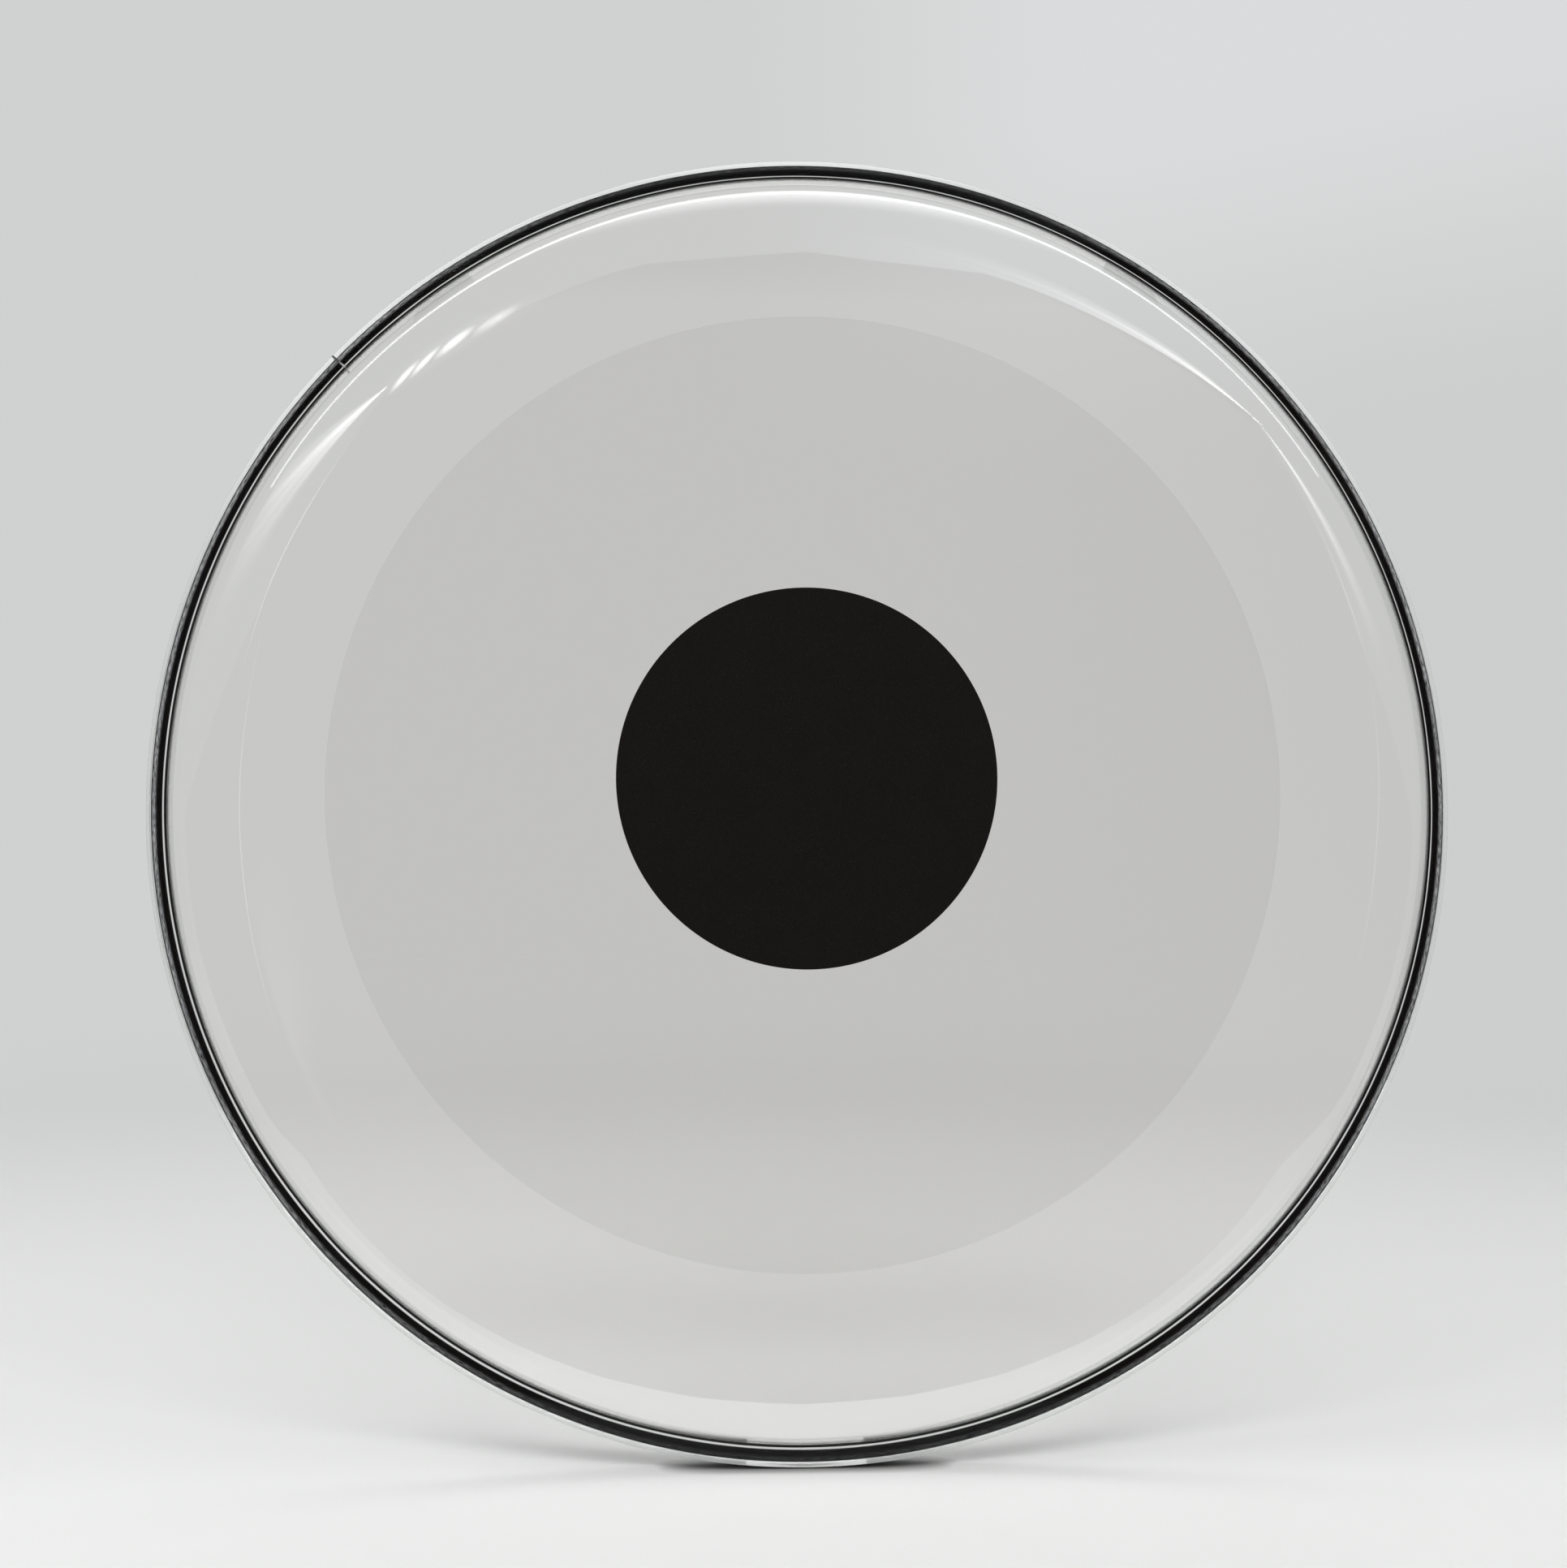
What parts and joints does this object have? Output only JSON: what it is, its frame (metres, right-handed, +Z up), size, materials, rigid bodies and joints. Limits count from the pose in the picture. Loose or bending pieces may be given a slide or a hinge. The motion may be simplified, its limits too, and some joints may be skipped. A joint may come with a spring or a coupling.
{
  "type": "drum head",
  "caption": "Round clear film drum head with a rolled edge and collar, a clear hoop with a black core, a clear damping disc and a black centre dot.",
  "frame": {"origin": "on the head's axis in the hoop's middle plane, inside the wall that slips over the drum shell", "axes": "the playing face looks along -Y, the open back along +Y; +Z is up in the pose of the picture, with the head standing on its rim"},
  "size_m": [0.3679, 0.0158, 0.368],
  "materials": {
    "clear_film": "clear glossy polyester film",
    "clear_bond": "clear adhesive",
    "black_bond": "black adhesive",
    "clear_hoop": "clear glossy extrusion",
    "black_core": "black fibre rod, fine lengthwise grain",
    "milky_joint": "milky weld",
    "black_dot": "satin black film"
  },
  "bodies": {
    "root": {"batter_film": "clear_film", "film_bond": "black_bond", "hoop_jacket": "clear_hoop", "hoop_core": "black_core", "hoop_joint": "milky_joint", "damping_disc": "clear_film", "damping_disc_adhesive": "clear_bond", "centre_dot": "black_dot", "centre_dot_adhesive": "clear_bond"}
  },
  "joints": []
}
